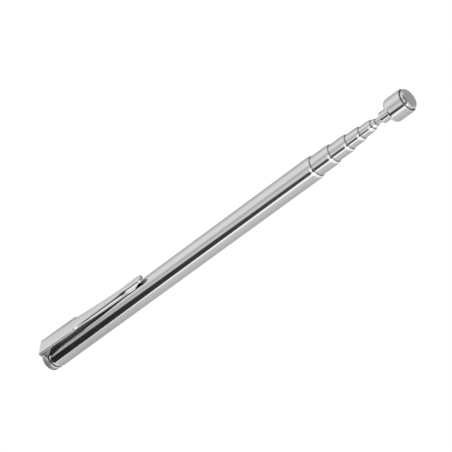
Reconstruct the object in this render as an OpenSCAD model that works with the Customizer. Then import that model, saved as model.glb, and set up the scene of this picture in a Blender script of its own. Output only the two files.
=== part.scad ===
// Telescoping magnetic pickup tool: a pocket-clip barrel, five drawn tubes, a solid rod and a magnet head.
// The tool's axis is X, the head points to +X, the pocket clip lies on the +Y side, and the origin is the
// centre of the end cap's rear face. Millimetres.

/* [Barrel and tubes] */
// Outside diameter of the barrel
barrel_d = 8; // [7:0.5:10]
// How much smaller each drawn stage is than the one around it, in diameter
stage_step = 1; // [1:0.1:1.1]
// Wall thickness of the barrel and of every tube
wall = 0.25; // [0.25:0.01:0.3]
// Length of the barrel
barrel_len = 126.5; // [110:0.5:150]
// Length of each stage that shows in the rest pose, from the widest tube to the rod
shown = [7.6, 6.7, 5.3, 4.6, 1.5, 2.1]; // [1.5:0.1:20]
// Length of each stage that still shows when the tool is pushed shut
shut = [1.5, 1.5, 1.5, 1.5, 1.5, 0.4]; // [0.4:0.1:1.5]

/* [Rolled mouths] */
// Length over which a mouth is rolled inward
mouth_len = 1.6; // [1.2:0.1:2.5]
// Radial clearance between a mouth and the stage inside it
mouth_gap = 0.05; // [0.03:0.01:0.08]
// Thickness of the lip that is left at the very end of a mouth
lip_t = 0.1; // [0.08:0.01:0.15]

/* [Sliding fit] */
// Length of the friction liners
liner_len = 10; // [6:1:12]
// Radial clearance between a liner and the stage it is on
liner_gap_in = 0.02; // [0.01:0.01:0.03]
// Radial clearance between a liner and the bore it slides in
liner_gap_out = 0.03; // [0.02:0.01:0.05]
// Height of the flared rear lip and of the stop bead that keep a liner in place
stop_h = 0.18; // [0.15:0.01:0.2]
// Length of the flared rear lip, and half the length of the stop bead
flare_len = 0.5; // [0.4:0.1:0.8]

/* [Barrel's rear end] */
// Length over which the barrel's rear end is rolled inward
rear_roll_len = 2; // [1:0.1:3]
// How far it is rolled inward
rear_roll_drop = 0.35; // [0.2:0.05:0.5]

/* [End cap] */
// Diameter over the cap's knurled flange
cap_d = 7.8; // [7:0.1:8]
// Thickness of the flange
cap_t = 1.85; // [1.2:0.05:2.5]
// Number of ridges round the flange
knurl_count = 36; // [30:2:60]
// Depth of the grooves between the ridges
knurl_depth = 0.15; // [0.08:0.01:0.2]
// Radius of the black bush's collar, seen between the clip and the barrel
bush_collar_r = 3.7; // [3.5:0.05:4]
// Thickness of the bush's collar
bush_collar_t = 0.4; // [0.3:0.05:0.8]
// Length of the bush inside the barrel
bush_len = 4.5; // [4:0.5:8]
// Radius of the cap's shank, which the bush holds
shank_r = 2.5; // [2:0.25:3]

/* [Pocket clip] */
// Thickness of the spring-steel sheet
sheet_t = 0.6; // [0.5:0.05:0.7]
// Width of the clip at its root
clip_root_w = 6.9; // [5:0.1:7]
// Width of the clip after its shoulders
clip_neck_w = 4.7; // [3.6:0.1:5]
// Width of the clip at its tip
clip_tip_w = 3.1; // [2.4:0.1:3.4]
// Height of the clip's outer face above the axis, at the root
clip_root_h = 6.9; // [6.3:0.1:7.2]
// Height of the clip's outer face above the axis, at the tip
clip_tip_h = 5.9; // [5.3:0.05:6]
// Where the shoulders start, along the axis
shoulder_x = 20; // [15:1:22]
// Length of the concave shoulders
shoulder_len = 6; // [3:0.5:7]
// Where the rounded tip ends
clip_end_x = 53.2; // [48:0.1:56]
// Width of the riser between the ring and the bend
riser_w = 5.2; // [4:0.1:6.5]
// Length of the skirts, where the sheet's edges are turned down at the root
skirt_len = 5.3; // [3:0.05:7]
// Where the ears that touch the barrel start
ear_x = 45; // [42:0.5:47]
// Length of the ears
ear_len = 6.4; // [4:0.1:8]
// Width over the ears
ear_w = 3.5; // [3.2:0.1:4]
// Radial clearance between the ears and the barrel at rest
ear_gap = 0.08; // [0.03:0.01:0.15]

/* [Magnet head] */
// Outside diameter of the cup
cup_d = 8.2; // [8:0.1:10]
// Length of the cup, from its back to its rim
cup_len = 7.0; // [6:0.1:10]
// Radius of the cup's rounded rear shoulder
cup_round = 1.45; // [1:0.05:2]
// Diameter of the neck boss
neck_d = 3.9; // [3.4:0.05:4.2]
// Length of the neck boss
neck_len = 3.4; // [3:0.1:5]
// Wall thickness of the cup at its rim
cup_wall = 0.32; // [0.3:0.02:0.4]
// Wall thickness of the dark sleeve between the cup and the magnet
sleeve_t = 0.28; // [0.2:0.02:0.4]
// How far the magnet stands out of the cup
magnet_proud = 1.2; // [0.5:0.1:1.5]
// Width of the magnet's bevel
bevel = 0.4; // [0.2:0.05:0.5]

/* [Hidden] */
$fn = 96;
STAGES = 6;
ROD = STAGES - 1;
LINER_SIDES = ["upper", "lower"];
function stage_d(i) = barrel_d - (i + 1) * stage_step;
function stage_name(i) = i == ROD ? "inner_rod" : str("tube_", round(stage_d(i)));
function liner_name(i, side) = str("liner_", round(stage_d(i)), "_", LINER_SIDES[side]);

CHROME = [0.82, 0.82, 0.84];
SPRING_STEEL = [0.72, 0.72, 0.75];
BRONZE = [0.72, 0.5, 0.3];
EPOXY = [0.55, 0.5, 0.35];
DARK = [0.15, 0.15, 0.16];
NICKEL = [0.75, 0.74, 0.7];

// Stations along the axis
ring_x = cap_t + sheet_t;
barrel_x = ring_x + bush_collar_t;
barrel_end = barrel_x + barrel_len;
bush_end = barrel_x + bush_len;
rear_gap = 0.5;
shut_rear = bush_end + rear_gap;

// Sum of the first n entries of a list
function total(list, n) = n == 0 ? 0 : list[n - 1] + total(list, n - 1);
// Where stage i ends at the front and starts at the rear, in the rest pose; -1 is the barrel
function stage_front(i) = barrel_end + total(shown, i + 1);
function stage_rear(i) = shut_rear + total(shown, i + 1) - total(shut, i + 1);

neck_x = stage_front(ROD);
cup_x = neck_x + neck_len;
rim_x = cup_x + cup_len;
face_x = rim_x + magnet_proud;
cup_floor_x = cup_x + 2.4;
rod_seat_x = cup_x + 1.4;
bond_t = 0.2;
magnet_r = cup_d / 2 - cup_wall - sleeve_t;

// Half-shell liners leave a slit between them, as an angle
slit_deg = 6;
// Points on each rolled curve
ROLL_STEPS = 6;

// Turns a lathe profile, drawn as [radius, distance along X], about the X axis
module lathe() {
    rotate([0, 90, 0]) rotate_extrude() children();
}

// A quarter of an ellipse in lathe coordinates, from (r_from, x_from) to (r_to, x_to), bulging outward
function roll(r_from, x_from, r_to, x_to) = [
    for (k = [0 : ROLL_STEPS])
        let (a = 90 * k / ROLL_STEPS)
        [r_to + (r_from - r_to) * cos(a), x_from + (x_to - x_from) * sin(a)]
];

// Outline of a tube's rolled mouth, from its outside round to its bore
function mouth_points(outer_r, inner_r, stage_r, x_end) = concat(
    roll(outer_r, x_end - mouth_len, stage_r + mouth_gap + lip_t, x_end),
    [[stage_r + mouth_gap, x_end]],
    [for (k = [ROLL_STEPS : -1 : 0])
        roll(inner_r, x_end - mouth_len, stage_r + mouth_gap, x_end - wall)[k]]
);

// Outline of a stage's rear end, from its bore out to its body: flared lip, liner seat and stop bead
function rear_points(outer_r, inner_r, x) = let (
    seat_end = x + flare_len + liner_len + 0.2
) [
    [inner_r, x + flare_len],
    [inner_r > 0 ? outer_r + stop_h - wall : 0, x],
    [outer_r + stop_h, x],
    [outer_r + stop_h, x + flare_len / 2],
    [outer_r, x + flare_len],
    [outer_r, seat_end],
    [outer_r + stop_h, seat_end + flare_len / 2],
    [outer_r + stop_h, seat_end + flare_len],
    [outer_r, seat_end + 1.5 * flare_len]
];

// The barrel's rear end, rolled inward: a surface that is this far out over most of the barrel
function rear_roll(r) = [
    for (k = [ROLL_STEPS : -1 : 0])
        roll(r, barrel_x + rear_roll_len, r - rear_roll_drop, barrel_x)[k]
];

module barrel() {
    r = barrel_d / 2;
    inside = rear_roll(r - wall);
    color(CHROME) lathe() polygon(concat(
        [for (k = [ROLL_STEPS : -1 : 0]) inside[k]],
        rear_roll(r),
        mouth_points(r, r - wall, stage_d(0) / 2, barrel_end)
    ));
}

module drawn_tube(i) {
    r = stage_d(i) / 2;
    color(CHROME) lathe() polygon(concat(
        rear_points(r, r - wall, stage_rear(i)),
        mouth_points(r, r - wall, stage_d(i + 1) / 2, stage_front(i))
    ));
}

module inner_rod() {
    r = stage_d(ROD) / 2;
    color(CHROME) lathe() polygon(concat(
        rear_points(r, 0, stage_rear(ROD)),
        [[r, rod_seat_x], [0, rod_seat_x]]
    ));
}

module stage(i) {
    if (i == ROD) inner_rod();
    else drawn_tube(i);
}

// Half of the split sleeve on stage i's rear end
module liner(i, side) {
    inner_r = stage_d(i) / 2 + liner_gap_in;
    outer_r = stage_d(i) / 2 + stage_step / 2 - wall - liner_gap_out;
    x = stage_rear(i) + flare_len + 0.1;
    color(BRONZE) rotate([90 + side * 180 + slit_deg / 2, 0, 0]) rotate([0, 90, 0])
        rotate_extrude(angle = 180 - slit_deg)
            translate([inner_r, x]) square([outer_r - inner_r, liner_len]);
}

module end_bush() {
    bore_r = barrel_d / 2 - wall;
    color(DARK) lathe() polygon(concat(
        [[shank_r, bush_end], [shank_r, ring_x], [bush_collar_r, ring_x], [bush_collar_r, barrel_x]],
        rear_roll(bore_r),
        [[bore_r, bush_end]]
    ));
}

module end_cap() {
    edge = 0.2;
    core_r = cap_d / 2 - knurl_depth - 0.06;
    color(CHROME) {
        lathe() polygon([
            [0, 0], [core_r - edge, 0], [core_r, edge], [core_r, cap_t],
            [shank_r, cap_t], [shank_r, bush_end - edge], [shank_r - edge, bush_end], [0, bush_end]
        ]);
        translate([edge, 0, 0]) rotate([0, 90, 0]) linear_extrude(cap_t - edge) polygon([
            for (k = [0 : 2 * knurl_count - 1])
                let (a = 180 * k / knurl_count, r = cap_d / 2 - knurl_depth * (k % 2))
                [r * cos(a), r * sin(a)]
        ]);
    }
}

// The clip's outer face above the axis at station x: straight from the root down to the ears, then level
clip_level_x = 46;
function clip_h(x) = x > clip_level_x ? clip_tip_h
    : clip_root_h + (clip_tip_h - clip_root_h) * (x - cap_t) / (clip_level_x - cap_t);

// The bend, where the riser turns into the arm, and the split between the two nodes of the clip
bend_r = 0.9;
riser_top = clip_h(cap_t + bend_r) - bend_r;
skirt_x = cap_t + bend_r + 0.25;
split_x = skirt_x + skirt_len + 0.5;
split_gap = 0.1;

// Half the clip's width at station x, with a concave quarter-round shoulder
taper_end_x = 42;
shoulder_end = shoulder_x + shoulder_len;
function clip_half_w(x) = x <= shoulder_x ? clip_root_w / 2
    : x < shoulder_end
    ? clip_neck_w / 2 + (clip_root_w - clip_neck_w) / 2
        * (1 - sqrt(1 - pow(1 - (x - shoulder_x) / shoulder_len, 2)))
    : clip_neck_w / 2 + (clip_tip_w - clip_neck_w) / 2
        * min(1, (x - shoulder_end) / (taper_end_x - shoulder_end));

// How far the sides of the arm are turned down below its outer face: [station, depth]
SIDES = [[shoulder_x, sheet_t], [shoulder_end, 1.25], [30, 1.55], [34, 1.75], [38, 1.9], [42, 2],
    [clip_level_x, 1.9], [50.5, 1.25], [clip_end_x, 0.95]];

// Extrudes an outline drawn as [Y, Z] along X, from the origin
module lengthwise(length) {
    rotate([0, 90, 0]) rotate([0, 0, 90]) linear_extrude(length) children();
}

// Extrudes a side outline, drawn as [X, Y], to this width across the middle plane
module across(width) {
    translate([0, 0, -width / 2]) linear_extrude(width) children();
}

// Extrudes a plan outline, drawn as [X, Z], through the arm's whole height
module stand_up() {
    rotate([90, 0, 0]) translate([0, 0, -2 * clip_root_h]) linear_extrude(2 * clip_root_h) children();
}

// The clip's ring and riser, as a flat plate across the axis
module clip_plate() {
    wide = clip_root_w / 2;
    narrow = riser_w / 2;
    flare_y = riser_top - 0.8;
    difference() {
        union() {
            circle(r = barrel_d / 2);
            polygon([
                [shank_r, -narrow], [flare_y, -narrow], [riser_top, -wide],
                [riser_top, wide], [flare_y, narrow], [shank_r, narrow]
            ]);
        }
        circle(r = shank_r);
    }
}

// Side outline of the bend and the root of the arm, from the riser to the split
module bend_outline() {
    inner_r = bend_r - sheet_t;
    polygon(concat(
        [for (k = [0 : ROLL_STEPS])
            let (a = 180 - 90 * k / ROLL_STEPS)
            [cap_t + bend_r + bend_r * cos(a), riser_top + bend_r * sin(a)]],
        [[split_x, clip_h(split_x)], [split_x, clip_h(split_x) - sheet_t]],
        [for (k = [ROLL_STEPS : -1 : 0])
            let (a = 180 - 90 * k / ROLL_STEPS)
            [cap_t + bend_r + inner_r * cos(a), riser_top + inner_r * sin(a)]]
    ));
}

// The two skirts: sloping walls under the edges of the arm's root, which run out in a long curve
module skirts() {
    run_out = 1.8;
    low_y = barrel_d / 2;
    top_y = riser_top + 0.45;
    intersection() {
        across(2 * barrel_d) polygon(concat(
            [[skirt_x, top_y]],
            [for (k = [0 : ROLL_STEPS])
                let (share = k / ROLL_STEPS)
                [skirt_x + skirt_len * share, top_y - (top_y - low_y) * (1 - pow(share, run_out))]]
        ));
        lengthwise(split_x) for (side = [-1, 1]) polygon([
            [low_y, side * 3.75], [top_y, side * 2.95],
            [top_y, side * (2.95 - sheet_t)], [low_y, side * (3.75 - sheet_t)]
        ]);
    }
}

module clip_collar() {
    color(SPRING_STEEL) union() {
        translate([cap_t, 0, 0]) lengthwise(sheet_t) clip_plate();
        across(clip_root_w) bend_outline();
        skirts();
    }
}

// Plan outline of the arm, seen along -Y: X along the axis, second coordinate along Z
module arm_plan(x0, inset) {
    tip_r = clip_tip_w / 2 - inset;
    round_x = clip_end_x - clip_tip_w / 2;
    stations = concat(
        [x0, shoulder_x],
        [for (k = [1 : ROLL_STEPS]) shoulder_x + shoulder_len * k / ROLL_STEPS],
        [taper_end_x, round_x]
    );
    last = len(stations) - 1;
    polygon(concat(
        [for (k = [0 : last]) [stations[k], clip_half_w(stations[k]) - inset]],
        [for (k = [last : -1 : 0]) [stations[k], inset - clip_half_w(stations[k])]]
    ));
    translate([round_x, 0]) circle(r = tip_r);
}

// Side outline of the arm with its turned-down sides
module arm_side() {
    x0 = split_x + split_gap;
    last = len(SIDES) - 1;
    polygon(concat(
        [[x0, clip_h(x0) - sheet_t], [x0, clip_h(x0)], [clip_level_x, clip_tip_h], [clip_end_x, clip_tip_h]],
        [for (k = [last : -1 : 0]) [SIDES[k][0], clip_h(SIDES[k][0]) - SIDES[k][1]]]
    ));
}

// Side outline of the hollow between the sides
module hollow_side() {
    polygon([
        [shoulder_x, clip_h(shoulder_x) - sheet_t], [clip_level_x, clip_tip_h - sheet_t],
        [clip_end_x, clip_tip_h - sheet_t], [clip_end_x, 2], [shoulder_x, 2]
    ]);
}

// An ear on each side, lowest where it touches the barrel
module ears() {
    inner_z = 1.3;
    low_y = sqrt(pow(barrel_d / 2 + ear_gap, 2) - pow(inner_z, 2));
    top_y = clip_tip_h - sheet_t;
    for (side = [-1, 1])
        translate([ear_x, 0, side * (inner_z + ear_w / 2) / 2 - (ear_w / 2 - inner_z) / 2])
            linear_extrude(ear_w / 2 - inner_z) polygon([
                [0.4, top_y], [0, top_y - 0.4], [0.1, low_y + 0.5], [0.8, low_y + 0.15], [2.3, low_y],
                [3.2, low_y + 0.1], [ear_len - 0.6, top_y - 0.3], [ear_len, top_y]
            ]);
}

module clip_arm() {
    color(SPRING_STEEL) union() {
        difference() {
            intersection() {
                across(clip_root_w) arm_side();
                stand_up() arm_plan(split_x + split_gap, 0);
            }
            intersection() {
                across(clip_root_w) hollow_side();
                stand_up() arm_plan(shoulder_x, sheet_t);
            }
        }
        ears();
    }
}

module head_cup() {
    r = cup_d / 2;
    edge = 0.25;
    neck_r = neck_d / 2;
    neck_edge = 0.45;
    rod_r = stage_d(ROD) / 2;
    color(CHROME) lathe() polygon(concat(
        [[rod_r, rod_seat_x], [rod_r, neck_x], [neck_r - neck_edge, neck_x]],
        [for (k = [1 : ROLL_STEPS])
            let (a = 90 * k / ROLL_STEPS)
            [neck_r - neck_edge + neck_edge * sin(a), neck_x + neck_edge * (1 - cos(a))]],
        [[neck_r, cup_x]],
        [for (k = [0 : ROLL_STEPS])
            let (a = 90 * k / ROLL_STEPS)
            [r - cup_round + cup_round * sin(a), cup_x + cup_round * (1 - cos(a))]],
        [[r, rim_x - edge], [r - edge / 4, rim_x - edge / 4], [r - edge, rim_x],
         [r - cup_wall, rim_x], [r - cup_wall, cup_floor_x],
         [0, cup_floor_x], [0, rod_seat_x]]
    ));
}

module magnet_sleeve() {
    recess = 0.2;
    color(DARK) lathe() translate([magnet_r, cup_floor_x])
        square([sleeve_t, rim_x - recess - cup_floor_x]);
}

module magnet_bond() {
    color(EPOXY) translate([cup_floor_x, 0, 0]) rotate([0, 90, 0])
        cylinder(r = magnet_r, h = bond_t);
}

module magnet() {
    color(NICKEL) lathe() polygon([
        [0, cup_floor_x + bond_t], [magnet_r, cup_floor_x + bond_t], [magnet_r, face_x - bevel],
        [magnet_r - bevel / 3, face_x - bevel / 3], [magnet_r - bevel, face_x], [0, face_x]
    ]);
}

barrel();
end_bush();
end_cap();
clip_collar();
clip_arm();
for (i = [0 : ROD])
    stage(i);
for (i = [0 : ROD]) for (side = [0, 1])
    liner(i, side);
head_cup();
magnet_sleeve();
magnet_bond();
magnet();
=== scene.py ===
import math

import bmesh
import bpy
from mathutils import Matrix, Vector


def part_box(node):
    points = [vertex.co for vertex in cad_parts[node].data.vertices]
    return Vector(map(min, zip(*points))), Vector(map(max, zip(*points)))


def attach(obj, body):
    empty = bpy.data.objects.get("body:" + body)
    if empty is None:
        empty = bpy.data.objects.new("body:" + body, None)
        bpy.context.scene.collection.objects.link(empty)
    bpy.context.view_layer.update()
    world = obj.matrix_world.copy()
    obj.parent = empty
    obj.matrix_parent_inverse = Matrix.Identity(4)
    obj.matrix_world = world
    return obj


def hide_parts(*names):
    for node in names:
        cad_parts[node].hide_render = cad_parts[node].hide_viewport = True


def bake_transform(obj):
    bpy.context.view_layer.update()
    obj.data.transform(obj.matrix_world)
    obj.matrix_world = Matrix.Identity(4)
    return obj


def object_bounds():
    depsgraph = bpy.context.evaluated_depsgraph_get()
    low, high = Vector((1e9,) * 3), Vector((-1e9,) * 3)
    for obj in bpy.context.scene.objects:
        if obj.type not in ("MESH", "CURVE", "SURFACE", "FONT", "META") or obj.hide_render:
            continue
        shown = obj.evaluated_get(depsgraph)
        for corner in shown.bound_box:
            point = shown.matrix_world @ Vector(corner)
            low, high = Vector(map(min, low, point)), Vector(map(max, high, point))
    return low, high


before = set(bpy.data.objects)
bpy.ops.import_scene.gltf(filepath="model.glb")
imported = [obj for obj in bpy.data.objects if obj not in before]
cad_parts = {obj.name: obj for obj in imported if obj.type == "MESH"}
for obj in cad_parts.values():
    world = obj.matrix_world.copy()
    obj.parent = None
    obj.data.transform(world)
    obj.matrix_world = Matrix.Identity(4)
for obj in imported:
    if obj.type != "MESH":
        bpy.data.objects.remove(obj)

# Looks of the telescoping magnetic pickup tool. Sizes below are in millimetres, as in the CAD source; a mesh
# is scaled to metres when it is made. The tool's axis is X, the head is at +X and the pocket clip at +Y.
cad_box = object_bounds()
MM = 0.001


def span(node, axis):
    """Lowest and highest coordinate of a CAD node along one axis, in millimetres."""
    low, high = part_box(node)
    return low[axis] / MM, high[axis] / MM


X, Y, Z = 0, 1, 2

# Stages, from the widest drawn tube to the rod, named by their diameter
TUBE_SIZES = [7, 6, 5, 4, 3]
ROD_SIZE = 2
WALL = 0.25
MOUTH_LEN = 1.6
MOUTH_GAP = 0.05
LIP = 0.1
# How far back from its end a tube's mouth is painted dark grey, as painted shade in the gap round the next
# stage
MOUTH_SHADE_LEN = 0.12
STOP_H = 0.18
FLARE = 0.5
LINER_SEAT = 10.2

REAR_ROLL_LEN = 2.0
REAR_ROLL_DROP = 0.35

# Pocket clip
SHEET = 0.6
BEND_R = 0.9
ROOT_W = 6.9
NECK_W = 4.7
TIP_W = 3.1
ROOT_H = 6.9
TIP_H = 5.9
LEVEL_X = 46.0
SHOULDER_X = 20.0
SHOULDER_LEN = 6.0
TAPER_END_X = 42.0
RISER_W = 5.2
SKIRT_LEN = 5.3
SKIRT_LOW_Y = 4.0
RING_HOLE_R = 2.5
SHEET_EDGE = 0.1

# Depth of the arm's turned-down sides below its outer face, by station
SIDES = [
    (0, 0.64), (20, 0.64), (26, 1.25), (30, 1.55), (34, 1.75), (38, 1.9), (42, 2.0), (46, 1.9),
    (50.5, 1.25), (54, 0.95),
]
# The corner between the outer face and the sides: its width and its depth, by station
CORNER_W = [
    (0, 0.5), (7, 0.45), (8.5, 0.32), (19, 0.32), (26, 0.6), (40, 0.8), (44, 0.75), (45.5, 0.5), (60, 0.5),
]
CORNER_D = [
    (0, 0.5), (7, 0.45), (8.5, 0.36), (19, 0.36), (26, 1.0), (40, 1.4), (44, 1.3), (45.5, 0.6), (60, 0.6),
]
# The lower edge of an ear, by station: its height above the axis
EAR = [(45, 4.3), (45.1, 4.2), (45.8, 3.93), (47.0, 3.88), (48.6, 3.9), (50.8, 4.7), (51.4, 5.2)]
EAR_X = 45.0
EAR_END = 51.4
EAR_TOP = 5.3
EAR_OUT = 0.09
FOOT_TOP = 4.3
FOOT_OUT = 0.06

# End cap and head
SHANK_R = 2.5
KNURL_COUNT = 36
KNURL_DEPTH = 0.1
KNURL_ROUNDNESS = 0.6
CUP_ROUND = 1.45
NECK_R = 1.95
NECK_LEN = 3.4
CUP_WALL = 0.32
MAGNET_BEVEL = 0.4


# ---------------------------------------------------------------- mesh helpers

def finish_mesh(bm, name):
    """Turns a bmesh in millimetres into an object in metres with smooth, area-weighted normals."""
    bmesh.ops.recalc_face_normals(bm, faces=bm.faces)
    bmesh.ops.scale(bm, vec=(MM, MM, MM), verts=bm.verts)
    mesh = bpy.data.meshes.new(name)
    bm.to_mesh(mesh)
    bm.free()
    mesh.polygons.foreach_set("use_smooth", [True] * len(mesh.polygons))
    mesh.set_sharp_from_angle(angle=math.radians(50))
    obj = bpy.data.objects.new(name, mesh)
    bpy.context.scene.collection.objects.link(obj)
    weighted = obj.modifiers.new("weighted_normal", "WEIGHTED_NORMAL")
    weighted.keep_sharp = True
    return obj


def fillet(points, steps=6):
    """Rounds the corners of an open outline. A point is (x, r) or (x, r, radius of its corner)."""
    out = []
    for i, point in enumerate(points):
        here = Vector(point[:2])
        radius = point[2] if len(point) > 2 else 0
        if not radius:
            out.append(here)
            continue
        back = (Vector(points[i - 1][:2]) - here).normalized()
        ahead = (Vector(points[i + 1][:2]) - here).normalized()
        half = back.angle(ahead) / 2
        centre = here + (back + ahead).normalized() * (radius / math.sin(half))
        start = here + back * (radius / math.tan(half)) - centre
        end = here + ahead * (radius / math.tan(half)) - centre
        turn = start.angle_signed(end)
        for k in range(steps + 1):
            out.append(centre + Matrix.Rotation(-turn * k / steps, 2) @ start)
    return [(p.x, p.y) for p in out]


def roll(x_from, r_from, x_to, r_to, steps=14):
    """A quarter of an ellipse that bulges outward, from (x_from, r_from) to (x_to, r_to)."""
    quarter = math.pi / 2
    return [
        (x_from + (x_to - x_from) * math.sin(quarter * k / steps),
         r_to + (r_from - r_to) * math.cos(quarter * k / steps))
        for k in range(steps + 1)
    ]


def lathe(name, outline, segments=144, shade_from=None):
    """Turns an outline of (x, r) points about the X axis. Its ends meet each other, or lie on the axis.

    Faces between two points past the station given last get the second material, which is painted shade at a
    tube's mouth.
    """
    bm = bmesh.new()
    rings = []
    for x, r in outline:
        if r < 1e-6:
            rings.append([bm.verts.new((x, 0, 0))] * segments)
        else:
            turn = 2 * math.pi / segments
            rings.append([
                bm.verts.new((x, r * math.cos(k * turn), r * math.sin(k * turn)))
                for k in range(segments)
            ])
    on_axis = outline[0][1] < 1e-6
    pairs = list(zip(rings, rings[1:]))
    if not on_axis:
        pairs.append((rings[-1], rings[0]))
    for a, b in pairs:
        in_mouth_shade = shade_from is not None and min(a[0].co.x, b[0].co.x) > shade_from
        for k in range(segments):
            n = (k + 1) % segments
            face = bm.faces.new(list(dict.fromkeys([a[k], a[n], b[n], b[k]])))
            face.material_index = 1 if in_mouth_shade else 0
    return finish_mesh(bm, name)


# ---------------------------------------------------------------- tubes, rod and head

def mouth(x_end, outer_r, stage_r):
    """Outline of a rolled mouth, from the tube's outside to its bore."""
    throat = stage_r + MOUTH_GAP
    outside = roll(x_end - MOUTH_LEN, outer_r, x_end, throat + LIP)
    inside = roll(x_end - MOUTH_LEN, outer_r - WALL, x_end - WALL, throat)
    edge = [(x_end - 0.02, throat + 0.03), (x_end - 0.08, throat)]
    return outside + edge + inside[::-1]


def barrel():
    start, end = span("barrel", X)
    radius = span("barrel", Z)[1]
    rear_x = start + REAR_ROLL_LEN
    outside = roll(rear_x, radius, start, radius - REAR_ROLL_DROP)[::-1]
    inside = roll(rear_x, radius - WALL, start, radius - WALL - REAR_ROLL_DROP)
    outline = inside + outside + mouth(end, radius, TUBE_SIZES[0] / 2)
    return lathe("barrel_tube", outline, shade_from=end - MOUTH_SHADE_LEN)


def rear_end(start, radius, bore_r):
    """Outline of a stage's rear end: flared lip, seat of the friction liner and stop bead."""
    seat_end = start + FLARE + LINER_SEAT
    bead = seat_end + 0.75 * FLARE
    return [
        (start + FLARE, bore_r),
        (start, radius + STOP_H - WALL if bore_r else 0),
    ] + fillet([
        (start, radius + STOP_H - WALL if bore_r else 0.5),
        (start, radius + STOP_H, 0.08),
        (start + FLARE / 2, radius + STOP_H, 0.08),
        (start + FLARE, radius),
        (seat_end, radius),
        (bead, radius + STOP_H, 0.1),
        (bead + FLARE, radius),
        (bead + 2, radius),
    ])[1:]


def drawn_tube(size, next_size):
    node = f"tube_{size}"
    start, end = span(node, X)
    radius = size / 2
    outline = rear_end(start, radius, radius - WALL) + mouth(end, radius, next_size / 2)
    return lathe(f"drawn_{node}", outline, 120, shade_from=end - MOUTH_SHADE_LEN)


def rod():
    start, end = span("inner_rod", X)
    radius = ROD_SIZE / 2
    return lathe("rod", rear_end(start, radius, 0)[1:] + [(end, radius), (end, 0)], 96)


def head_cup():
    neck_x, rim_x = span("head_cup", X)
    radius = span("head_cup", Z)[1]
    rod_end = span("inner_rod", X)[1]
    floor_x = span("magnet_sleeve", X)[0]
    back_x = neck_x + NECK_LEN
    rod_r = ROD_SIZE / 2
    outline = [(rod_end, 0), (rod_end, rod_r)] + fillet([
        (neck_x + 1, rod_r),
        (neck_x, rod_r, 0.06),
        (neck_x, NECK_R, 0.45),
        (back_x, NECK_R, 0.08),
        (back_x, radius, CUP_ROUND),
        (rim_x, radius, 0.24),
        (rim_x, radius - CUP_WALL, 0.06),
        (floor_x, radius - CUP_WALL),
    ], 10) + [(floor_x, 0)]
    return lathe("cup", outline, 160)


def magnet_sleeve():
    start, end = span("magnet_sleeve", X)
    radius = span("magnet_sleeve", Z)[1]
    inner = span("magnet", Z)[1]
    outline = fillet([
        (start, inner), (start, radius), (end, radius, 0.05), (end, inner, 0.05), (start + 1, inner)
    ])
    return lathe("sleeve", outline[:-1], 160)


def magnet():
    start, end = span("magnet", X)
    radius = span("magnet", Z)[1]
    outline = [(start, 0)] + fillet([
        (start, radius - 1),
        (start, radius, 0.1),
        (end - MAGNET_BEVEL, radius, 0.25),
        (end, radius - MAGNET_BEVEL, 0.25),
        (end, radius - 1.5),
    ], 8) + [(end, 0)]
    return lathe("magnet_disc", outline, 160)


# ---------------------------------------------------------------- end cap

def end_cap():
    """The knurled cap: rounded ridges round the flange, and a plain shank inside the bush."""
    flange = span("clip_collar", X)[0]
    shank_end = span("end_cap", X)[1]
    radius = span("end_cap", Z)[1]
    per_ridge = 8
    segments = KNURL_COUNT * per_ridge
    outline = fillet([
        (0, radius - 1.2),
        (0, radius - 0.1, 0.28),
        (flange, radius - 0.02, 0.12),
        (flange, radius - 1),
    ], 7)
    outline = [(0, 0)] + outline + [(flange, SHANK_R), (shank_end, SHANK_R), (shank_end, 0)]
    bm = bmesh.new()
    rings = []
    for x, r in outline:
        if r < 1e-6:
            rings.append([bm.verts.new((x, 0, 0))] * segments)
            continue
        depth = KNURL_DEPTH if r > radius - 0.35 and 0.05 < x < flange - 0.05 else 0
        ring = []
        for k in range(segments):
            angle = 2 * math.pi * k / segments
            wave = 0.5 - 0.5 * math.cos(KNURL_COUNT * angle)
            here = r - depth * (1 - wave ** KNURL_ROUNDNESS)
            ring.append(bm.verts.new((x, here * math.cos(angle), here * math.sin(angle))))
        rings.append(ring)
    for a, b in zip(rings, rings[1:]):
        for k in range(segments):
            n = (k + 1) % segments
            bm.faces.new(list(dict.fromkeys([a[k], a[n], b[n], b[k]])))
    return finish_mesh(bm, "knurled_cap")


# ---------------------------------------------------------------- pocket clip

def between(table, x):
    """Value at x of a table of (x, value) pairs, along straight lines."""
    for (x0, v0), (x1, v1) in zip(table, table[1:]):
        if x <= x1:
            return v0 + (v1 - v0) * max(0, (x - x0) / (x1 - x0))
    return table[-1][1]


CLIP_X = span("clip_collar", X)[0]
CLIP_END = span("clip_arm", X)[1]
RING_R = span("clip_collar", Z)[1]
RING_X = CLIP_X + SHEET
BEND_X = CLIP_X + BEND_R


def clip_height(x):
    """Height of the clip's outer face above the axis at station x."""
    rise = min(1, max(0, (LEVEL_X - x) / (LEVEL_X - CLIP_X)))
    return TIP_H + (ROOT_H - TIP_H) * rise


BEND_Y = clip_height(BEND_X) - BEND_R


def clip_half(x):
    """Half the clip's width at station x, up to where its tip starts to round."""
    if x < SHOULDER_X:
        return ROOT_W / 2
    taper_x = SHOULDER_X + SHOULDER_LEN
    if x < taper_x:
        rest = 1 - (x - SHOULDER_X) / SHOULDER_LEN
        return NECK_W / 2 + (ROOT_W - NECK_W) / 2 * (1 - math.sqrt(1 - rest ** 2))
    share = min(1, (x - taper_x) / (TAPER_END_X - taper_x))
    return (NECK_W + (TIP_W - NECK_W) * share) / 2


def lower_edge(x):
    """Height of the lower edge of the arm's sides, with the ears."""
    side = clip_height(x) - between(SIDES, x)
    if EAR_X < x < EAR_END:
        return min(side, between(EAR, x))
    return side


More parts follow.
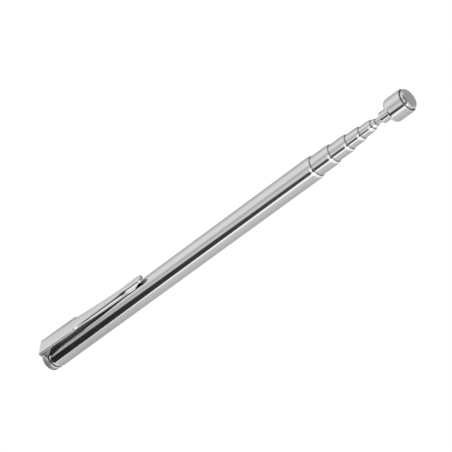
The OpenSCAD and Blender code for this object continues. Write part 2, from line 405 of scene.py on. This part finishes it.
def ear_bulge(x, y):
    """How far the side stands out at (x, y): an embossed ear with a rounded rim, flared at its foot."""
    if not EAR_X < x < EAR_END:
        return 0
    rim = min((x - EAR_X) / 0.7, (EAR_END - x) / 1.8, (EAR_TOP - y) / 1.3)
    rise = min(1, max(0, rim))
    foot = min(1, max(0, (FOOT_TOP - y) / 0.45))
    return EAR_OUT * math.sin(rise * math.pi / 2) + FOOT_OUT * foot * rise


# Angles round a quarter turn, for the corners of the clip's sections
QUARTER = [math.radians(7.5 * k) for k in range(13)]
WALL_STEPS = 12


def side_section(x, half, normal_z):
    """Outline (y, z) of one side at station x, from the outer face round the sheet to the underside."""
    top = clip_height(x)
    low = lower_edge(x)
    wide = between(CORNER_W, x)
    deep = min(between(CORNER_D, x), top - low - 0.12)
    wall_inner = half - SHEET * normal_z
    points = [(top - deep + deep * math.cos(a), half - wide + wide * math.sin(a)) for a in QUARTER]
    start = points[-1][0]
    e = min(SHEET_EDGE, (start - low) / 2)
    points += [
        (start + (low + e - start) * k / WALL_STEPS, half) for k in range(1, WALL_STEPS + 1)
    ]
    points += [(low + e - e * math.sin(a), half - e + e * math.cos(a)) for a in QUARTER[4::4]]
    inner_top = top - SHEET
    room = min(SHEET_EDGE, max(0.005, (inner_top - low) / 3))
    points += [(low, wall_inner + room), (low + room, wall_inner), (inner_top - room, wall_inner)]
    points.append((inner_top, wall_inner - room))
    return [(y, z + ear_bulge(x, y) * (1 if z > half - SHEET / 2 else 0.9)) for y, z in points]


def arm_stations():
    """Stations along the arm with half width and outline normal in plan, dense where its shape changes."""
    corner_r = 0.35
    corner_x = SHOULDER_X - corner_r
    plain = [BEND_X + 0.01, 4, 5.5, 7, 7.4, 7.8, 8.2, 8.5, 10, 12.5, 15, 17.5, corner_x]
    rows = [(x, ROOT_W / 2, 0, 1) for x in plain]
    for k in range(1, 6):
        t = math.radians(18 * k)
        rows.append((
            corner_x + corner_r * math.sin(t), ROOT_W / 2 - corner_r * (1 - math.cos(t)),
            math.sin(t), math.cos(t),
        ))
    drop = ROOT_W / 2 - corner_r - NECK_W / 2
    for k in range(1, 15):
        b = math.radians(90 * k / 14)
        normal = Vector((drop * math.cos(b), SHOULDER_LEN * math.sin(b))).normalized()
        rows.append((
            SHOULDER_X + SHOULDER_LEN * (1 - math.cos(b)), NECK_W / 2 + drop * (1 - math.sin(b)),
            normal.x, normal.y,
        ))
    taper_x = SHOULDER_X + SHOULDER_LEN
    rows += [(taper_x + 2 * k, clip_half(taper_x + 2 * k), 0, 1) for k in range(1, 9)]
    tip_r = TIP_W / 2
    tip_x = CLIP_END - tip_r
    dense = 64
    first = TAPER_END_X + 2
    rows += [(first + (tip_x - first) * k / dense, tip_r, 0, 1) for k in range(dense + 1)]
    for k in range(1, 15):
        a = math.radians(84 * k / 14)
        rows.append((tip_x + tip_r * math.sin(a), tip_r * math.cos(a), math.sin(a), math.cos(a)))
    return rows


COLUMNS = [k / 8 for k in range(-8, 9)]
# The clip's materials: polished faces; satin sheared edges, painted whiter as a highlight; and the inner side
# and skirts, painted dark as shade
FACE, EDGE, INSIDE_SHADE = 0, 1, 2


def strip(bm, a, b, material=0):
    """A row of quads between two lists of vertices; returns the faces."""
    faces = [bm.faces.new([a[k], a[k + 1], b[k + 1], b[k]]) for k in range(len(a) - 1)]
    for face in faces:
        face.material_index = material
    return faces


def arm_loop(bm, x, half, nx, nz):
    """One closed section of the arm: outer face, right side, underside, left side."""
    side = side_section(x, half, max(nz, 0.35))
    edge_z, under_z = side[0][1], side[-1][1]
    top, under = side[0][0], side[-1][0]
    outer = [bm.verts.new((x, top, c * edge_z)) for c in COLUMNS]
    inner = [bm.verts.new((x, under, c * under_z)) for c in COLUMNS]
    right = [bm.verts.new((x, y, z)) for y, z in side[1:-1]]
    left = [bm.verts.new((x, y, -z)) for y, z in side[1:-1]]
    return outer + right + inner[::-1] + left[::-1]


def riser_section():
    """Points (depth, inset) round one edge of the flat riser, as many as side_section has."""
    e = SHEET_EDGE
    points = [(e - e * math.cos(a), e - e * math.sin(a)) for a in QUARTER]
    points += [(e + (SHEET - 2 * e) * k / WALL_STEPS, 0) for k in range(1, WALL_STEPS + 1)]
    points += [(SHEET - e + e * math.sin(a), e - e * math.cos(a)) for a in QUARTER[4::4]]
    return points + [(SHEET, 0.2 + 0.1 * k) for k in range(4)]


def bend_loop(bm, angle):
    """A section of the bend, which goes from the flat riser at 180 degrees to the arm at 90."""
    c, s = math.cos(math.radians(angle)), math.sin(math.radians(angle))
    share = (180 - angle) / 90
    arm = side_section(BEND_X, ROOT_W / 2, 1)
    top = arm[0][0]
    side = []
    for (depth, inset), (y, z) in zip(riser_section(), arm):
        side.append((
            depth + (top - y - depth) * share,
            ROOT_W / 2 - inset + (z - ROOT_W / 2 + inset) * share,
        ))

    def place(depth, z):
        r = BEND_R - depth
        return bm.verts.new((BEND_X + r * c, BEND_Y + r * s, z))

    outer = [place(side[0][0], col * side[0][1]) for col in COLUMNS]
    inner = [place(side[-1][0], col * side[-1][1]) for col in COLUMNS]
    right = [place(d, z) for d, z in side[1:-1]]
    left = [place(d, -z) for d, z in side[1:-1]]
    return outer + right + inner[::-1] + left[::-1]


def join_loops(bm, loops, material):
    """Faces between closed loops; material(row, k) gives the material of a face."""
    for row, (a, b) in enumerate(zip(loops, loops[1:])):
        count = len(a)
        for k in range(count):
            n = (k + 1) % count
            face = bm.faces.new([a[k], a[n], b[n], b[k]])
            face.material_index = material(row, k)


def skirt(bm, side):
    """A sloping wall under one edge of the arm's root, which runs out in a long curve. All of it is painted
    dark, as painted shade.
    """
    top_y = BEND_Y + 0.45
    start = BEND_X + 0.25
    top_z, low_z = 2.95, 3.75
    run_out = 1.8
    steps = 24
    lean = (top_z - low_z) / (top_y - SKIRT_LOW_Y)
    loops = []
    for k in range(steps + 1):
        share = 0.99 * k / steps
        x = start + SKIRT_LEN * share
        low = top_y - (top_y - SKIRT_LOW_Y) * (1 - share ** run_out)
        e = min(SHEET_EDGE, (top_y - low) / 3)
        outline = [(top_y, 0), (low + e, 0), (low + 0.3 * e, -0.3 * e), (low, -e)]
        outline += [(y, -SHEET - z) for y, z in reversed(outline)]
        loop = []
        for y, inset in outline:
            z = low_z + lean * (y - SKIRT_LOW_Y) + inset
            loop.append(bm.verts.new((x, y, side * z)))
        loops.append(loop)
    join_loops(bm, loops, lambda row, k: INSIDE_SHADE)
    bm.faces.new(loops[0])
    bm.faces.new(loops[-1])


def ring_and_riser(bm, first):
    """The ring round the cap's shank and the riser's straight sides, closed against the bend's first loop."""
    half = len(first)
    cols = len(COLUMNS)
    per_side = (half - 2 * cols) // 2
    front_top = first[:cols]
    right = first[cols - 1:cols + per_side + 1]
    back_top = first[cols + per_side:2 * cols + per_side][::-1]
    left = [first[0]] + first[2 * cols + per_side:][::-1] + [back_top[0]]
    profile = [(v.co.x, v.co.z - ROOT_W / 2) for v in right]
    foot_z = RISER_W / 2
    foot_y = math.sqrt(RING_R ** 2 - foot_z ** 2)
    corners = fillet([
        (BEND_Y + 0.5, ROOT_W / 2), (BEND_Y, ROOT_W / 2, 0.1), (BEND_Y - 0.8, foot_z, 0.5),
        (foot_y, foot_z, 0.2), (foot_y - 1, foot_z + 1),
    ], 4)[3:-1]
    outline = []
    for k in range(1, len(corners) - 1):
        down = (Vector(corners[k + 1]) - Vector(corners[k - 1])).normalized()
        outline.append((*corners[k], down.y, -down.x))
    start = math.atan2(foot_z, foot_y) + 0.08
    sides = len(outline)
    around = 96
    for k in range(around + 1):
        angle = start + (2 * math.pi - 2 * start) * k / around
        c, s = math.cos(angle), math.sin(angle)
        outline.append((RING_R * c, RING_R * s, c, s))
    outline += [(y, -z, ny, -nz) for y, z, ny, nz in reversed(outline[:sides])]
    loops = [right]
    for y, z, ny, nz in outline:
        loops.append([bm.verts.new((x, y + ny * out, z + nz * out)) for x, out in profile])
    loops.append(left)
    # The ring's and riser's edges take the whiter edge material, a painted highlight
    for a, b in zip(loops, loops[1:]):
        strip(bm, a, b, EDGE)
    front = [loop[0] for loop in loops] + front_top[1:-1]
    back = [loop[-1] for loop in loops] + back_top[1:-1]
    hole = []
    for near in front:
        angle = math.atan2(near.co.z, near.co.y)
        y, z = RING_HOLE_R * math.cos(angle), RING_HOLE_R * math.sin(angle)
        hole.append((bm.verts.new((CLIP_X, y, z)), bm.verts.new((RING_X, y, z))))
    for k in range(len(front)):
        n = (k + 1) % len(front)
        bm.faces.new([front[k], front[n], hole[n][0], hole[k][0]])
        bm.faces.new([back[k], back[n], hole[n][1], hole[k][1]])
        bm.faces.new([hole[k][0], hole[n][0], hole[n][1], hole[k][1]])


def pocket_clip():
    """One stamped sheet: ring, riser, bend, skirted root, and an arm with turned-down sides and ears."""
    bm = bmesh.new()
    loops = [bend_loop(bm, angle) for angle in range(180, 89, -6)]
    stations = arm_stations()
    loops += [arm_loop(bm, *station) for station in stations]
    bend_rows = len(loops) - len(stations)
    cols = len(COLUMNS)

    def material(row, k):
        index = row - bend_rows
        on_side = min(k - cols + 1, len(loops[0]) - 1 - k)
        x = stations[max(index, 0)][0]
        # The underside short of the tip is painted dark as shade under the clip; the root's side edges are
        # painted whiter as a highlight
        if on_side >= 28:
            return INSIDE_SHADE if x < LEVEL_X else FACE
        at_root = x < SHOULDER_X + 1.2
        return EDGE if at_root and 12 <= on_side <= 26 else FACE

    join_loops(bm, loops, material)
    bm.faces.new(loops[-1])
    ring_and_riser(bm, loops[0])
    for side in (-1, 1):
        skirt(bm, side)
    return finish_mesh(bm, "spring_clip")


# ---------------------------------------------------------------- materials

def new_material(name, **sockets):
    """A material with one Principled shader, with these values set on its own sockets."""
    material = bpy.data.materials.new(name)
    material.use_nodes = True
    shader = material.node_tree.nodes["Principled BSDF"]
    for key, value in sockets.items():
        shader.inputs[key.replace("_", " ")].default_value = value
    return material, material.node_tree.nodes, material.node_tree.links, shader


def noise(nodes, links, scale, detail=3.0, rough=0.5):
    """Noise over the object's own coordinates; scale is features per millimetre along X, Y and Z."""
    place = nodes.new("ShaderNodeTexCoord")
    stretch = nodes.new("ShaderNodeMapping")
    stretch.inputs["Scale"].default_value = [s / MM for s in scale]
    links.new(place.outputs["Object"], stretch.inputs["Vector"])
    texture = nodes.new("ShaderNodeTexNoise")
    texture.inputs["Scale"].default_value = 1.0
    texture.inputs["Detail"].default_value = detail
    texture.inputs["Roughness"].default_value = rough
    links.new(stretch.outputs["Vector"], texture.inputs["Vector"])
    return texture.outputs["Fac"]


def spread(nodes, links, value, low, high, start=0.3, end=0.7):
    """Maps a noise value onto low..high."""
    mapping = nodes.new("ShaderNodeMapRange")
    mapping.inputs["From Min"].default_value = start
    mapping.inputs["From Max"].default_value = end
    mapping.inputs["To Min"].default_value = low
    mapping.inputs["To Max"].default_value = high
    links.new(value, mapping.inputs["Value"])
    return mapping.outputs["Result"]


def blend_colors(nodes, links, factor, first, second):
    mixer = nodes.new("ShaderNodeMix")
    mixer.data_type = "RGBA"
    mixer.inputs["A"].default_value = (*first, 1)
    mixer.inputs["B"].default_value = (*second, 1)
    links.new(factor, mixer.inputs["Factor"])
    return mixer.outputs["Result"]


def bump(nodes, links, height, shader, micrometres):
    node = nodes.new("ShaderNodeBump")
    node.inputs["Strength"].default_value = 1.0
    node.inputs["Distance"].default_value = micrometres * 1e-6
    links.new(height, node.inputs["Height"])
    links.new(node.outputs["Normal"], shader.inputs["Normal"])


def plated_metal(name, light, dark, rough, grain, depth):
    """Polished plating: faint drawing lines along the grain, and smudges that change the roughness."""
    material, nodes, links, shader = new_material(name, Metallic=1.0)
    lines = noise(nodes, links, grain, 4.0, 0.6)
    smudges = noise(nodes, links, (0.12, 0.2, 0.2), 3.0)
    tint = spread(nodes, links, lines, 0.0, 1.0)
    links.new(blend_colors(nodes, links, tint, dark, light), shader.inputs["Base Color"])
    links.new(spread(nodes, links, smudges, *rough), shader.inputs["Roughness"])
    bump(nodes, links, lines, shader, depth)
    return material


def knurl_metal():
    """Chrome that is bright on the ridges' crests and darker, browner and rougher down in the grooves between
    them.
    """
    material, nodes, links, shader = new_material("knurled_chrome", Metallic=1.0)
    place = nodes.new("ShaderNodeTexCoord")
    flat = nodes.new("ShaderNodeVectorMath")
    flat.operation = "MULTIPLY"
    flat.inputs[1].default_value = (0, 1, 1)
    length = nodes.new("ShaderNodeVectorMath")
    length.operation = "LENGTH"
    links.new(place.outputs["Object"], flat.inputs[0])
    links.new(flat.outputs["Vector"], length.inputs[0])
    top = span("end_cap", Z)[1] * MM
    ridge = spread(nodes, links, length.outputs["Value"], 0.0, 1.0, top - KNURL_DEPTH * MM, top)
    links.new(
        blend_colors(nodes, links, ridge, (0.30, 0.28, 0.27), (0.86, 0.84, 0.82)),
        shader.inputs["Base Color"],
    )
    links.new(spread(nodes, links, ridge, 0.42, 0.14, 0.0, 1.0), shader.inputs["Roughness"])
    bump(nodes, links, noise(nodes, links, (3, 3, 3)), shader, 2)
    return material


def nickel():
    """The magnet's plating: satin, slightly warm, with fine grinding marks across the face."""
    return plated_metal(
        "nickel_plate", (0.72, 0.70, 0.69), (0.66, 0.64, 0.63), (0.16, 0.26), (0.6, 0.5, 7), 0.5
    )


def black_plastic():
    material, nodes, links, shader = new_material("black_plastic", Metallic=0.0)
    grain = noise(nodes, links, (6, 6, 6))
    links.new(
        blend_colors(nodes, links, grain, (0.012, 0.012, 0.013), (0.03, 0.03, 0.032)),
        shader.inputs["Base Color"],
    )
    links.new(spread(nodes, links, grain, 0.45, 0.65), shader.inputs["Roughness"])
    return material


def turned_metal(name, light, dark):
    """Satin turned or rolled metal with fine rings round the axis."""
    return plated_metal(name, light, dark, (0.22, 0.34), (9, 0.4, 0.4), 1.0)


def epoxy():
    material, nodes, links, shader = new_material("epoxy", Metallic=0.0)
    cloud = noise(nodes, links, (1.5, 1.5, 1.5))
    links.new(
        blend_colors(nodes, links, cloud, (0.42, 0.36, 0.24), (0.52, 0.46, 0.34)),
        shader.inputs["Base Color"],
    )
    links.new(spread(nodes, links, cloud, 0.25, 0.4), shader.inputs["Roughness"])
    return material


def edge_with_painted_highlight():
    """The sheared edge of the clip's sheet: satin, and painted whiter than its faces, a painted highlight
    where it catches the light.
    """
    material, nodes, links, shader = new_material("edge_with_painted_highlight", Metallic=1.0)
    grain = noise(nodes, links, (3, 3, 3))
    links.new(
        blend_colors(nodes, links, grain, (0.80, 0.80, 0.81), (0.92, 0.92, 0.92)),
        shader.inputs["Base Color"],
    )
    links.new(spread(nodes, links, grain, 0.26, 0.36), shader.inputs["Roughness"])
    return material


def painted_mouth_shade(name, light, dark):
    """Painted shade at the end of a tube's mouth, in the gap round the next stage: a matt, mottled grey,
    darker than the chrome.
    """
    material, nodes, links, shader = new_material(name, Metallic=0.0)
    shader.inputs["Specular IOR Level"].default_value = 0.2
    grain = noise(nodes, links, (5, 5, 5))
    links.new(blend_colors(nodes, links, grain, dark, light), shader.inputs["Base Color"])
    links.new(spread(nodes, links, grain, 0.5, 0.7), shader.inputs["Roughness"])
    return material


def paint(obj, *materials):
    if obj.data.materials:
        obj.data.materials.clear()
    for material in materials:
        obj.data.materials.append(material)


# ---------------------------------------------------------------- the object

def add(obj, body, materials, slot, *nodes):
    paint(obj, *materials)
    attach(obj, body)
    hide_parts(*nodes)


LENGTHWISE = (0.02, 2.2, 2.2)
chrome = plated_metal(
    "chrome", (0.69, 0.69, 0.70), (0.64, 0.64, 0.655), (0.05, 0.11), LENGTHWISE, 0.25
)
clip_chrome = plated_metal(
    "clip_chrome", (0.70, 0.70, 0.71), (0.64, 0.64, 0.65), (0.04, 0.09), (0.05, 1.2, 4.0), 0.3
)
# The clip's inside: the same plating painted much darker, as painted shade under the clip, and rougher
clip_inside_painted_shade = plated_metal(
    "clip_inside_painted_shade", (0.34, 0.34, 0.35), (0.26, 0.26, 0.27), (0.35, 0.5), (0.3, 1.2, 1.2), 0.3
)

# Each tube's mouth end is painted dark grey: painted shade in the gap round the next stage
mouth_painted_shade = painted_mouth_shade("mouth_painted_shade", (0.55, 0.55, 0.55), (0.45, 0.45, 0.45))
chrome_and_mouth_shade = (chrome, mouth_painted_shade)
add(barrel(), "barrel", chrome_and_mouth_shade, "chrome", "barrel")
add(end_cap(), "barrel", [knurl_metal()], "chrome", "end_cap")
for size, next_size in zip(TUBE_SIZES, TUBE_SIZES[1:] + [ROD_SIZE]):
    add(drawn_tube(size, next_size), f"tube_{size}", chrome_and_mouth_shade, "chrome", f"tube_{size}")
add(rod(), "head", [chrome], "chrome", "inner_rod")
add(head_cup(), "head", [chrome], "chrome", "head_cup")
plastic = black_plastic()
add(magnet_sleeve(), "head", [plastic], "sleeve", "magnet_sleeve")
add(magnet(), "head", [nickel()], "magnet", "magnet")

clip = pocket_clip()
# The clip: polished faces, edges painted whiter as a highlight, and the inside painted dark as shade
paint(clip, clip_chrome, edge_with_painted_highlight(), clip_inside_painted_shade)
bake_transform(clip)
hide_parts("clip_collar", "clip_arm")

bronze = turned_metal("bronze", (0.62, 0.40, 0.22), (0.50, 0.31, 0.17))
for node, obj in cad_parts.items():
    if node.startswith("liner_"):
        paint(obj, bronze)
paint(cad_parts["end_bush"], plastic)
paint(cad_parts["magnet_bond"], epoxy())


# ---------------------------------------------------------------- floor, light and camera

# Reach of the floor and height of the backdrop, in metres
FLOOR_R = 4


def math_node(nodes, links, operation, *values):
    """A math node whose inputs are numbers or other nodes' outputs."""
    node = nodes.new("ShaderNodeMath")
    node.operation = operation
    for socket, value in zip(node.inputs, values):
        if isinstance(value, (int, float)):
            socket.default_value = value
        else:
            links.new(value, socket)
    return node.outputs["Value"]


def table_node(nodes, links, value, table, low, high, top):
    """Looks a value up in a table of (value, result) pairs with a color ramp."""
    ramp = nodes.new("ShaderNodeValToRGB")
    above = math_node(nodes, links, "SUBTRACT", value, low)
    links.new(math_node(nodes, links, "DIVIDE", above, high - low), ramp.inputs["Fac"])
    elements = ramp.color_ramp.elements
    while len(elements) < len(table):
        elements.new(0.5)
    for element, (position, result) in zip(elements, table):
        element.position = (position - low) / (high - low)
        element.color = (result / top, result / top, result / top, 1)
    return math_node(nodes, links, "MULTIPLY", ramp.outputs["Color"], top)


def stage_object(bm, name, material):
    """Turns a bmesh in metres into a piece of the stage, which isn't part of the tool."""
    mesh = bpy.data.meshes.new(name)
    bm.to_mesh(mesh)
    bm.free()
    obj = bpy.data.objects.new(name, mesh)
    bpy.context.scene.collection.objects.link(obj)
    mesh.materials.append(material)
    return obj


def ground(name, x_range, y_range, material):
    """A flat rectangle at the height of the tool's lowest point, in metres."""
    (x0, x1), (y0, y1) = x_range, y_range
    bm = bmesh.new()
    corners = [(x0, y0), (x1, y0), (x1, y1), (x0, y1)]
    bm.faces.new([bm.verts.new((x, y, cad_box[0][2])) for x, y in corners])
    return stage_object(bm, name, material)


def glowing(name):
    """A material that only glows."""
    material, nodes, links, shader = new_material(name, Roughness=1.0)
    shader.inputs["Specular IOR Level"].default_value = 0.0
    shader.inputs["Base Color"].default_value = (0.0, 0.0, 0.0, 1)
    shader.inputs["Emission Color"].default_value = (1.0, 1.0, 1.0, 1)
    shader.inputs["Emission Strength"].default_value = 1.0
    return material, nodes, links, shader


def backdrop(material):
    """A tall round wall at the floor's edge, which only the camera sees."""
    bm = bmesh.new()
    bmesh.ops.create_cone(bm, segments=96, radius1=FLOOR_R, radius2=FLOOR_R, depth=2 * FLOOR_R)
    wall = stage_object(bm, "backdrop", material)
    wall.visible_glossy = False
    wall.visible_diffuse = False
    wall.visible_shadow = False


def floor():
    """A plain white floor under the tool. It glows, so it stays white; the chrome doesn't mirror it."""
    white = glowing("floor_white")[0]
    ground("floor", (-FLOOR_R, FLOOR_R), (-FLOOR_R, FLOOR_R), white).visible_glossy = False
    backdrop(white)


def shade():
    """What the chrome mirrors of the floor close by: the shade beside the tool and under the clip's root."""
    material, nodes, links, shader = glowing("floor_shade")
    place = nodes.new("ShaderNodeTexCoord")
    parts = nodes.new("ShaderNodeSeparateXYZ")
    links.new(place.outputs["Object"], parts.inputs["Vector"])
    across = math_node(nodes, links, "DIVIDE", parts.outputs["Y"], MM)
    along = math_node(nodes, links, "DIVIDE", parts.outputs["X"], MM)
    tone = table_node(nodes, links, across, SHADE, 0, 12, 1)
    past = math_node(nodes, links, "SUBTRACT", across, ROOT_SHADE_Y)
    off = math_node(nodes, links, "DIVIDE", past, ROOT_SHADE_SPREAD)
    square = math_node(nodes, links, "MULTIPLY", off, off)
    deep = math_node(nodes, links, "EXPONENT", math_node(nodes, links, "MULTIPLY", square, -1.0))
    under_root = table_node(nodes, links, along, ROOT_SHADE, 0, 60, 1)
    dip = math_node(nodes, links, "MULTIPLY", deep, under_root)
    cover = math_node(nodes, links, "SUBTRACT", 1.0, dip)
    links.new(math_node(nodes, links, "MULTIPLY", tone, cover), shader.inputs["Emission Color"])
    card = ground("shade", (-0.02, 0.2), (0, 0.012), material)
    card.visible_camera = False
    card.location.z = 0.01 * MM


# The studio's brightness by angle round the tool's axis, in degrees: 0 toward +Y, 90 straight up
STUDIO = [
    (-120, 0.88), (-60, 0.95), (-36, 0.94), (-20, 1.02), (0, 1.0), (8, 0.90), (15, 0.74), (22, 0.56),
    (30, 0.68), (40, 0.82), (50, 0.86), (92, 1.1), (100, 1.45), (106, 1.45), (112, 0.9), (122, 0.77),
    (140, 0.77), (150, 0.71), (165, 0.66), (185, 0.63), (210, 0.55), (240, 0.46),
]
# The dark strip overhead by the direction's X: the angle of its middle, half its width, and its brightness
STRIP_MIDDLE = [(-0.6, 72), (-0.578, 72.9), (-0.535, 73.8), (-0.5, 75.2), (-0.456, 77), (0.5, 77)]
STRIP_HALF = [
    (-1, 0), (-0.97, 8), (-0.9, 25), (-0.8, 36), (-0.68, 38), (-0.6, 32.5), (-0.578, 32.2), (-0.557, 27.6),
    (-0.535, 23), (-0.5, 20), (-0.456, 14.7), (-0.4, 11), (-0.33, 8), (-0.25, 2.5), (-0.2, 0.5), (-0.13, 4),
    (0, 14), (0.3, 18), (0.9, 18),
]
STRIP_TONE = [
    (-0.6, 0.028), (-0.578, 0.03), (-0.557, 0.045), (-0.5, 0.055), (-0.456, 0.085), (0.5, 0.085),
]
# How much brighter the studio is by the direction's X, on the +Y side and on the other side
LIFT = [
    (-0.95, 1.25), (-0.75, 1.0), (-0.62, 0.9), (-0.578, 0.86), (-0.557, 0.94), (-0.535, 1.0), (-0.38, 1.0),
    (-0.3, 1.05), (-0.2, 1.1), (-0.05, 1.0), (0.2, 0.7), (0.5, 0.35), (0.9, 0.25),
]
OTHER_LIFT = [
    (-0.95, 1.25), (-0.75, 1.3), (-0.64, 0.95), (-0.578, 0.86), (-0.557, 0.94), (-0.535, 1.0), (-0.38, 1.0),
    (-0.3, 1.35), (-0.2, 1.9), (0, 1.7), (0.15, 1.2), (0.5, 1.0), (0.9, 1.0),
]
# How far each part of the sky's turn counts as the other side, by the angle
OTHER_SIDE = [(-120, 0), (30, 0), (75, 1), (240, 1)]
# How softly the strip ends on its far and on its near side, in degrees
STRIP_SOFT = [(1, 3.0), (-1, 6.0)]
# Brightness of the shaded floor beside the tool, by Y in millimetres
SHADE = [(0, 0.46), (4.2, 0.5), (5, 0.62), (6.2, 0.68), (7.3, 0.76), (8.6, 0.88), (11, 0.95)]
# The darker floor under the clip's root: how much light it loses, by X, and its middle and spread in Y
ROOT_SHADE = [(0, 0.75), (20, 0.75), (30, 0.3), (60, 0)]
ROOT_SHADE_Y = 6.6
ROOT_SHADE_SPREAD = 0.9


def studio():
    """A soft pale studio with one dark strip overhead, which draws the dark band along the chrome."""
    world = bpy.data.worlds.new("studio")
    bpy.context.scene.world = world
    world.use_nodes = True
    nodes, links = world.node_tree.nodes, world.node_tree.links
    place = nodes.new("ShaderNodeTexCoord")
    parts = nodes.new("ShaderNodeSeparateXYZ")
    links.new(place.outputs["Generated"], parts.inputs["Vector"])

    along = parts.outputs["X"]
    turn = math_node(nodes, links, "ARCTAN2", parts.outputs["Z"], parts.outputs["Y"])
    angle = math_node(nodes, links, "MULTIPLY", turn, 180 / math.pi)
    around = math_node(nodes, links, "WRAP", angle, 240.0, -120.0)
    tone = table_node(nodes, links, around, STUDIO, -120, 240, 1.5)
    near_lift = table_node(nodes, links, along, LIFT, -1, 1, 1.5)
    other_lift = table_node(nodes, links, along, OTHER_LIFT, -1, 1, 2)
    other = table_node(nodes, links, around, OTHER_SIDE, -120, 240, 1)
    gain = math_node(nodes, links, "SUBTRACT", other_lift, near_lift)
    blended = math_node(nodes, links, "MULTIPLY", gain, other)
    lift = math_node(nodes, links, "ADD", near_lift, blended)
    half_width = table_node(nodes, links, along, STRIP_HALF, -1, 1, 40)
    middle = table_node(nodes, links, along, STRIP_MIDDLE, -1, 1, 80)
    dark = table_node(nodes, links, along, STRIP_TONE, -1, 1, 0.1)
    off = math_node(nodes, links, "SUBTRACT", around, middle)
    sky = math_node(nodes, links, "MULTIPLY", tone, lift)
    outsides = []
    for side, soft in STRIP_SOFT:
        reach = math_node(nodes, links, "MULTIPLY", off, side)
        outside = math_node(nodes, links, "SUBTRACT", reach, half_width)
        edge = nodes.new("ShaderNodeMapRange")
        edge.interpolation_type = "SMOOTHSTEP"
        edge.inputs["From Min"].default_value = -soft
        edge.inputs["From Max"].default_value = soft
        links.new(outside, edge.inputs["Value"])
        outsides.append(edge.outputs["Result"])
    clear = math_node(nodes, links, "MAXIMUM", *outsides)
    strip_tone = math_node(nodes, links, "MAXIMUM", clear, dark)
    darkened = math_node(nodes, links, "MULTIPLY", sky, strip_tone)
    background = nodes["Background"]
    links.new(darkened, background.inputs["Color"])
    background.inputs["Strength"].default_value = 1.0


def camera():
    """A long lens that looks at the tool from beyond its head, which points up to the right."""
    tilt = math.radians(30.0)
    round_axis = math.radians(60.8)
    roll_angle = math.radians(36.29)
    distance = 0.6124
    back = Vector((
        math.sin(tilt),
        math.cos(tilt) * math.cos(round_axis),
        math.cos(tilt) * math.sin(round_axis),
    ))
    across = Vector((0, math.sin(round_axis), -math.cos(round_axis)))
    along = across.cross(back)
    right = along * math.cos(roll_angle) - across * math.sin(roll_angle)
    up = along * math.sin(roll_angle) + across * math.cos(roll_angle)
    target = Vector((0.08965, 0, 0)) + across * 0.0017
    data = bpy.data.cameras.new("camera")
    data.sensor_width = 36.0
    data.lens = 149.3
    data.clip_start = 0.01
    obj = bpy.data.objects.new("camera", data)
    turn = Matrix((right, up, back)).transposed().to_4x4()
    obj.matrix_world = Matrix.Translation(target + back * distance) @ turn
    bpy.context.scene.collection.objects.link(obj)
    bpy.context.scene.camera = obj


floor()
shade()
studio()
camera()
bpy.context.scene.view_settings.view_transform = "Standard"
